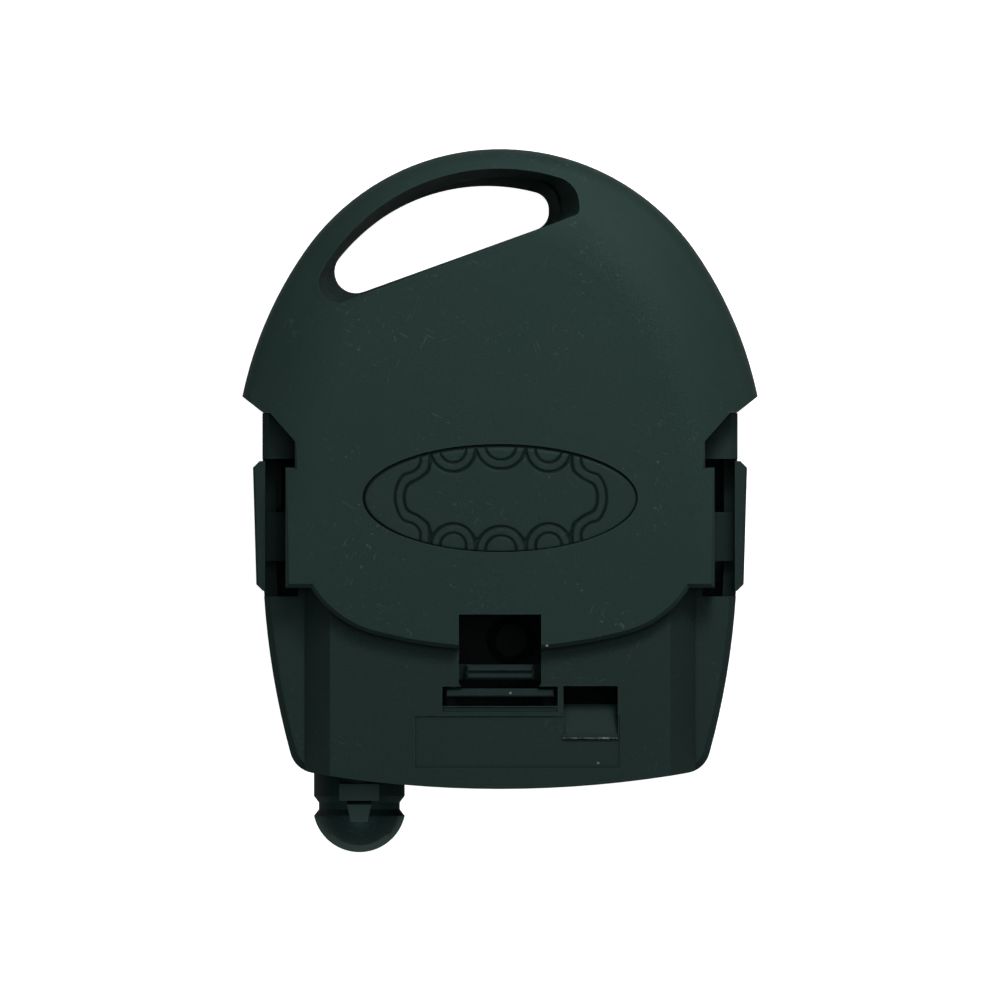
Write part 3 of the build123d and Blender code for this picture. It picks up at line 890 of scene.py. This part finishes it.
@dataclass
class SlotLining:
    """The keyring slot's inner wall, which narrows it to the photograph's outline.

    It is a ring sunk in the head's own wall, and its top slopes outwards with the flare.
    """

    finish: MouldedFinish = HEAD_PLASTIC
    crown: Point = (-1.17 * MM, 11.54 * MM)
    crown_radius: float = 16.91 * MM
    floor_start: Point = (-11.6 * MM, 19.13 * MM)
    floor_angle: float = radians(19.8)
    end_x: float = 4.4 * MM
    left_round: float = 1.95 * MM
    lower_round: float = 1.65 * MM
    upper_round: float = 1.6 * MM
    arc_steps: int = 12
    crown_steps: int = 36
    wall: float = 1.0 * MM
    low_z: float = 0.4 * MM
    lip_z: float = 6.0 * MM
    high_z: float = 9.0 * MM

    def corner_centres(self) -> tuple[Point, Point, Point]:
        """The centres of the lower, upper and left corner rounds.

        Returns:
            The three centres.
        """
        along = (cos(self.floor_angle), sin(self.floor_angle))
        off = (-along[1], along[0])
        start_x, start_y = self.floor_start
        lower_x = self.end_x - self.lower_round
        reach = (lower_x - start_x - self.lower_round * off[0]) / along[0]
        lower = (lower_x, start_y + reach * along[1] + self.lower_round * off[1])
        upper_x = self.end_x - self.upper_round
        inner = self.crown_radius - self.upper_round
        upper = (upper_x, self.crown[1] + sqrt(inner**2 - (upper_x - self.crown[0]) ** 2))
        x = start_x + self.left_round * off[0] - self.crown[0]
        y = start_y + self.left_round * off[1] - self.crown[1]
        middle = x * along[0] + y * along[1]
        short = self.crown_radius - self.left_round
        reach = -middle - sqrt(middle**2 - (x * x + y * y - short**2))
        left = (x + self.crown[0] + reach * along[0], y + self.crown[1] + reach * along[1])
        return lower, upper, left

    def outline(self) -> list[tuple[Vector, Vector]]:
        """Points round the slot with their outward directions.

        Returns:
            The points and directions, anticlockwise.
        """
        lower, upper, left = self.corner_centres()
        down = self.floor_angle - pi / 2
        turn_up = atan2(upper[1] - self.crown[1], upper[0] - self.crown[0])
        turn_left = atan2(left[1] - self.crown[1], left[0] - self.crown[0])
        arcs = (
            (lower, self.lower_round, down, 0.0, self.arc_steps),
            (upper, self.upper_round, 0.0, turn_up, self.arc_steps),
            (self.crown, self.crown_radius, turn_up, turn_left, self.crown_steps),
            (left, self.left_round, turn_left, down + 2 * pi, self.arc_steps),
        )
        points = []
        for centre, radius, start, stop, steps in arcs:
            for step in range(steps + 1):
                angle = start + (stop - start) * step / steps
                out = Vector((cos(angle), sin(angle), 0.0))
                points.append((Vector((*centre, 0.0)) + out * radius, out))
        return points

    def build(self, groups: GroupSet) -> None:
        """Makes the ring and gives it the head's plastic.

        Args:
            groups: The shared shader groups.
        """
        mesh = bmesh.new()
        section = (
            (0.0, self.low_z),
            (0.0, self.lip_z),
            (self.wall, self.high_z),
            (self.wall, self.low_z),
        )
        outline = self.outline()
        rings = []
        for away, height in section:
            rise = Vector((0.0, 0.0, height))
            verts = [mesh.verts.new(point + out * away + rise) for point, out in outline]
            edges = [mesh.edges.new((verts[at - 1], vert)) for at, vert in enumerate(verts)]
            rings.append(edges)
        for at, ring in enumerate(rings):
            bmesh.ops.bridge_loops(mesh, edges=rings[at - 1] + ring)
        finished_object("slot_lining", mesh, "head", self.finish.material(groups))
        log.info("slot_lining set with %d points round it", len(outline))


@dataclass
class GapWebs:
    """Thin webs of the case that close gaps through which the photograph shows no light."""

    finish: MouldedFinish = CASE_PLASTIC

    def boxes(self) -> dict[str, tuple[Place, Place]]:
        """Each web's middle and size, in millimetres."""
        return {
            "left_gap_web": ((-20.06, 1.45, 6.0), (0.68, 4.2, 1.2)),
            "left_shoulder_web": ((-20.8, 7.85, 5.0), (1.14, 0.26, 4.0)),
            "right_shoulder_web": ((20.8, 7.85, 5.0), (1.14, 0.26, 4.0)),
        }

    def build(self, groups: GroupSet) -> None:
        """Makes the webs and gives them the case's plastic.

        Args:
            groups: The shared shader groups.
        """
        look = self.finish.material(groups)
        for name, (middle, size) in self.boxes().items():
            mesh = bmesh.new()
            bmesh.ops.create_cube(mesh, size=1.0)
            bmesh.ops.scale(mesh, verts=mesh.verts, vec=Vector(size) * MM)
            bmesh.ops.translate(mesh, verts=mesh.verts, vec=Vector(middle) * MM)
            finished_object(name, mesh, "remote", look)
            log.info("%s set", name)


@dataclass
class Wear:
    """The frayed lower edge of the square window and the small pale nicks."""

    finish: MouldedFinish = WORN_PLASTIC
    edge_middle: Place = (8.15 * MM, -21.33 * MM, 13.46 * MM)
    edge_half_length: float = 2.5 * MM
    edge_half_width: float = 0.12 * MM
    edge_rise: float = 0.05 * MM
    edge_columns: int = 90
    edge_rows: int = 5
    least_spread: float = 0.35
    more_spread: float = 0.9
    least_rise: float = 0.5
    seed: int = 7
    nick_radius: float = 0.15 * MM
    nick_stretch: Place = (1.0, 0.8, 0.35)

    def nicks(self) -> dict[str, tuple[str, Place]]:
        """Each nick's body and place."""
        return {
            "tongue_nick": ("head", (4.23 * MM, -13.0 * MM, 14.945 * MM)),
            "panel_nick": ("remote", (8.82 * MM, -23.58 * MM, 13.28 * MM)),
            "wide_bar_nick": ("remote", (0.95 * MM, -17.28 * MM, 13.0 * MM)),
        }

    def frayed_edge(self) -> Mesh:
        """A thin, uneven ridge along the window's lower lip.

        Returns:
            The mesh.
        """
        mesh = bmesh.new()
        columns = self.edge_columns
        bmesh.ops.create_grid(mesh, x_segments=columns, y_segments=self.edge_rows, size=1.0)
        rim = {vert for vert in mesh.verts if vert.is_boundary}
        chance = Random(self.seed)
        size = (self.edge_half_length, self.edge_half_width, 1.0)
        bmesh.ops.scale(mesh, verts=mesh.verts, vec=size)
        draws = [chance.random() ** 2 for _ in range(columns + 2)]
        for vert in mesh.verts:
            place = round((vert.co.x / self.edge_half_length + 1) / 2 * columns)
            vert.co.y *= self.least_spread + self.more_spread * draws[place]
            if vert not in rim:
                vert.co.z = self.edge_rise * (self.least_rise + chance.random())
            vert.co += Vector(self.edge_middle)
        close_below(mesh, self.edge_rise)
        return mesh

    def build(self, groups: GroupSet) -> None:
        """Makes the worn spots.

        Args:
            groups: The shared shader groups.
        """
        look = self.finish.material(groups)
        finished_object("window_frayed_edge", self.frayed_edge(), "remote", look)
        for name, (body, place) in self.nicks().items():
            mesh = bmesh.new()
            bmesh.ops.create_icosphere(mesh, subdivisions=2, radius=self.nick_radius)
            bmesh.ops.scale(mesh, verts=mesh.verts, vec=self.nick_stretch)
            bmesh.ops.translate(mesh, verts=mesh.verts, vec=place)
            finished_object(name, mesh, body, look)
        log.info("window edge frayed, %d nicks", len(self.nicks()))


@dataclass
class RemoteCase:
    """The two covers of the remote, with the pad inside them."""

    finish: MouldedFinish = CASE_PLASTIC
    pad_finish: MouldedFinish = PAD_RUBBER

    def dress(self, groups: GroupSet) -> None:
        """Gives the covers their grained plastic and the pad its silicone."""
        dress_nodes(("rear_cover", "front_cover"), self.finish.material(groups))
        dress_nodes(("button_pad",), self.pad_finish.material(groups))


@dataclass
class BladeSocket:
    """The round-ended stub with its pin."""

    finish: MouldedFinish = SOCKET_PLASTIC
    pin_finish: SteelFinish = PIN_STEEL

    def dress(self, groups: GroupSet) -> None:
        """Gives the stub its satin plastic and the pin its steel."""
        dress_nodes(("blade_socket",), self.finish.material(groups))
        dress_nodes(("blade_pin",), self.pin_finish.material(groups))


@dataclass
class Buttons:
    """The three caps with a plain sign printed on each."""

    finish: MouldedFinish = BUTTON_PLASTIC
    print_finish: MouldedFinish = SIGN_PRINT
    stroke: float = 0.34 * MM
    proud: float = 0.04 * MM
    sunk: float = 0.02 * MM
    bow_steps: int = 20
    lock_width: float = 2.5 * MM
    lock_height: float = 1.9 * MM
    shackle_radius: float = 0.72 * MM
    shackle_leg: float = 0.55 * MM
    car_length: float = 5.0 * MM
    car_height: float = 1.0 * MM
    cabin_height: float = 0.95 * MM
    cabin_foot: float = 0.55
    cabin_roof: float = 0.30
    lid_foot: float = 0.62
    lid_tip: float = 1.08
    wheel_place: float = 0.58
    wheel_radius: float = 0.3 * MM

    def signs(self) -> dict[str, tuple[str, Symbol]]:
        """Each cap's body and sign."""
        return {
            "lock_button": ("lock_cap", Symbol.CLOSED_PADLOCK),
            "unlock_button": ("unlock_cap", Symbol.OPEN_PADLOCK),
            "boot_button": ("boot_cap", Symbol.OPEN_BOOT),
        }

    def raised_outline(self, mesh: Mesh, corners: list[Point]) -> None:
        """A flat outline drawn to the print's thickness.

        Args:
            mesh: The mesh that it is added to.
            corners: The outline's corners, in metres from the sign's middle.
        """
        face = mesh.faces.new([mesh.verts.new((x, y, 0.0)) for x, y in corners])
        grown = bmesh.ops.extrude_face_region(mesh, geom=[face])
        lift_grown(mesh, grown, self.proud + self.sunk)

    def bar(self, mesh: Mesh, middle: Point, size: Point) -> None:
        """A rectangle of print.

        Args:
            mesh: The mesh that it is added to.
            middle: The rectangle's middle.
            size: Its width and height.
        """
        left, right = middle[0] - size[0] / 2, middle[0] + size[0] / 2
        low, high = middle[1] - size[1] / 2, middle[1] + size[1] / 2
        self.raised_outline(mesh, [(left, low), (right, low), (right, high), (left, high)])

    def bow(self, mesh: Mesh, centre: Point, radius: float, turn: float) -> None:
        """A bow of print, spun round a centre.

        Args:
            mesh: The mesh that it is added to.
            centre: The bow's centre.
            radius: Its middle radius.
            turn: How far it goes round, in radians.
        """
        inner, outer = radius - self.stroke / 2, radius + self.stroke / 2
        depth = self.proud + self.sunk
        section = [(inner, 0.0), (outer, 0.0), (outer, depth), (inner, depth)]
        verts = [mesh.verts.new((centre[0] + x, centre[1], z)) for x, z in section]
        face = mesh.faces.new(verts)
        bmesh.ops.spin(
            mesh,
            geom=[face, *face.edges, *verts],
            cent=(*centre, 0.0),
            axis=(0.0, 0.0, 1.0),
            angle=turn,
            steps=self.bow_steps,
            use_merge=turn >= 2 * pi,
        )

    def padlock(self, mesh: Mesh, lift: float) -> None:
        """A padlock, closed or with its shackle lifted.

        Args:
            mesh: The mesh that it is added to.
            lift: How far the shackle is drawn out of the body.
        """
        self.bar(mesh, (0.0, -self.lock_height / 2), (self.lock_width, self.lock_height))
        top = self.shackle_leg + lift
        self.bow(mesh, (0.0, top), self.shackle_radius, pi)
        self.bar(mesh, (-self.shackle_radius, top / 2), (self.stroke, top))
        leg = (self.stroke, self.shackle_leg)
        self.bar(mesh, (self.shackle_radius, top - self.shackle_leg / 2), leg)

    def car(self, mesh: Mesh) -> None:
        """A car seen from the side with its boot lid up.

        Args:
            mesh: The mesh that it is added to.
        """
        half = self.car_length / 2
        waist = self.car_height / 2
        roof = waist + self.cabin_height
        self.bar(mesh, (0.0, 0.0), (self.car_length, self.car_height))
        foot, top = half * self.cabin_foot, half * self.cabin_roof
        self.raised_outline(mesh, [(-foot, waist), (foot, waist), (top, roof), (-top, roof)])
        foot, top = half * self.lid_foot, half * self.lid_tip
        lid = [
            (foot, waist),
            (foot + self.stroke, waist),
            (top, roof + self.stroke),
            (top - self.stroke, roof + self.stroke),
        ]
        self.raised_outline(mesh, lid)
        for side in (-1, 1):
            middle = (side * half * self.wheel_place, -waist)
            self.bow(mesh, middle, self.wheel_radius, 2 * pi)

    def build_sign(self, symbol: Symbol) -> Mesh:
        """A sign's mesh about its own middle, with its print facing up.

        Args:
            symbol: Which sign it is.

        Returns:
            The mesh.
        """
        mesh = bmesh.new()
        if symbol is Symbol.OPEN_BOOT:
            self.car(mesh)
        else:
            self.padlock(mesh, self.shackle_leg if symbol is Symbol.OPEN_PADLOCK else 0.0)
        return mesh

    def dress(self, groups: GroupSet) -> None:
        """Dresses the caps and prints their signs.

        Args:
            groups: The shared shader groups.
        """
        dress_nodes(tuple(self.signs()), self.finish.material(groups))
        look = self.print_finish.material(groups)
        for node, (body, symbol) in self.signs().items():
            low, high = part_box(node)
            mesh = self.build_sign(symbol)
            place = Vector(((low.x + high.x) / 2, (low.y + high.y) / 2, low.z + self.sunk))
            facing = Matrix.Translation(place) @ Matrix.Rotation(pi, 4, "Y")
            bmesh.ops.transform(mesh, matrix=facing, verts=mesh.verts)
            finished_object(f"{node}_sign", mesh, body, look)
            log.info("%s printed with %s", node, symbol.value)


@dataclass(frozen=True)
class SoftLight:
    """A square soft light that faces the fob, by its place, side and power."""

    name: str
    place: Place
    side: float
    watts: float


SOFT_LIGHTS = (
    SoftLight("light_close_above", (0.032, 0.078, 0.100), 0.03, 0.060),
    SoftLight("light_above", (0.08, 0.06, 0.50), 0.3, 0.50),
    SoftLight("light_from_the_head", (0.15, 0.55, 0.65), 0.35, 2.7),
    SoftLight("light_from_the_left", (-0.75, 0.05, 0.45), 0.5, 0.12),
    SoftLight("light_from_the_right", (0.75, 0.05, 0.45), 0.5, 0.2),
    SoftLight("light_from_the_socket", (0.0, -0.7, 0.6), 0.5, 0.45),
)


@dataclass
class Studio:
    """The pale floor, the lights and the camera above the fob."""

    floor_size: float = 3.0
    floor_z: float = -0.02 * MM
    floor_glow: float = 0.97
    floor_colour: Colour = (0.6, 0.6, 0.6)
    floor_roughness: float = 0.9
    spot_target: Place = (-12.69 * MM, -28.3 * MM, 6.0 * MM)
    spot_way: Place = (0.0, -0.30, 0.40)
    spot_radius: float = 5.6 * MM
    spot_watts: float = 7.0
    surround_colour: Colour = (0.78, 1.0, 0.98)
    surround_strength: float = 0.14
    camera_distance: float = 3.0
    picture_width: float = 90.0 * MM
    picture_middle_y: float = 0.09 * MM
    sharp_height: float = 12.6 * MM
    sensor: float = 36.0

    def floor(self) -> None:
        """Lays the floor under the fob."""
        mesh = bmesh.new()
        bmesh.ops.create_grid(mesh, x_segments=2, y_segments=2, size=self.floor_size / 2)
        bmesh.ops.translate(mesh, verts=mesh.verts, vec=(0.0, 0.0, self.floor_z))
        data = bpy.data.meshes.new("studio_floor")
        mesh.to_mesh(data)
        mesh.free()
        look, tree, shader = new_material("studio_floor_paint")
        shader.inputs["Base Color"].default_value = (*self.floor_colour, 1.0)
        shader.inputs["Roughness"].default_value = self.floor_roughness
        shader.inputs["Emission Color"].default_value = (1.0, 1.0, 1.0, 1.0)
        path = tree.nodes.new("ShaderNodeLightPath")
        glow = product(tree, path.outputs["Is Camera Ray"], self.floor_glow)
        tree.links.new(glow, shader.inputs["Emission Strength"])
        data.materials.append(look)
        floor = bpy.data.objects.new("studio_floor", data)
        bpy.context.scene.collection.objects.link(floor)

    def hang(self, light: bpy.types.Light, place: Vector, way: Vector) -> None:
        """Hangs a light where the camera doesn't see it.

        Args:
            light: The light.
            place: Where it hangs.
            way: The way it looks.
        """
        lamp = bpy.data.objects.new(light.name, light)
        lamp.location = place
        lamp.rotation_euler = way.to_track_quat("-Z", "Y").to_euler()
        lamp.visible_camera = False
        bpy.context.scene.collection.objects.link(lamp)

    def lights(self) -> None:
        """Hangs the soft lights and sets the even surround."""
        for soft in SOFT_LIGHTS:
            light = bpy.data.lights.new(soft.name, "AREA")
            light.size = soft.side
            light.energy = soft.watts
            self.hang(light, Vector(soft.place), -Vector(soft.place))
        world = bpy.data.worlds.new("studio_surround")
        world.use_nodes = True
        surround = world.node_tree.nodes["Background"]
        surround.inputs["Color"].default_value = (*self.surround_colour, 1.0)
        surround.inputs["Strength"].default_value = self.surround_strength
        bpy.context.scene.world = world

    def spot(self) -> None:
        """Hangs a narrow soft-edged spot for the blade socket alone."""
        way = Vector(self.spot_way)
        light = bpy.data.lights.new("spot_on_the_socket", "SPOT")
        light.energy = self.spot_watts
        light.spot_size = 2 * asin(self.spot_radius / way.length)
        light.spot_blend = 0.5
        light.shadow_soft_size = 0.002
        self.hang(light, Vector(self.spot_target) + way, -way)

    def camera(self) -> None:
        """Looks straight down on the fob, as the photograph does."""
        data = bpy.data.cameras.new("camera")
        data.sensor_width = self.sensor
        data.lens = self.sensor * self.camera_distance / self.picture_width
        data.clip_start = 0.01
        camera = bpy.data.objects.new("camera", data)
        camera.location = (0.0, self.picture_middle_y, self.sharp_height + self.camera_distance)
        bpy.context.scene.collection.objects.link(camera)
        bpy.context.scene.camera = camera

    def build(self) -> None:
        """Sets up the whole studio."""
        self.camera()
        self.floor()
        self.lights()
        self.spot()
        bpy.context.scene.view_settings.view_transform = "Standard"


def main() -> None:
    """Dresses the fob and sets up the studio."""
    logging.basicConfig(level=logging.INFO, format="%(message)s")
    groups = GroupSet(
        grain=spark_grain(),
        marks=handling_marks(),
        edges=rubbed_edges(),
        painted_shade=painted_crevice_shade(),
    )
    Studio().build()
    for assembly in (Head(), RemoteCase(), BladeSocket(), Buttons()):
        assembly.dress(groups)
        log.info("%s finished", type(assembly).__name__)
    for addition in (OvalRelief(), SlotLining(), GapWebs(), Wear()):
        addition.build(groups)


if __name__ == "__main__":
    main()
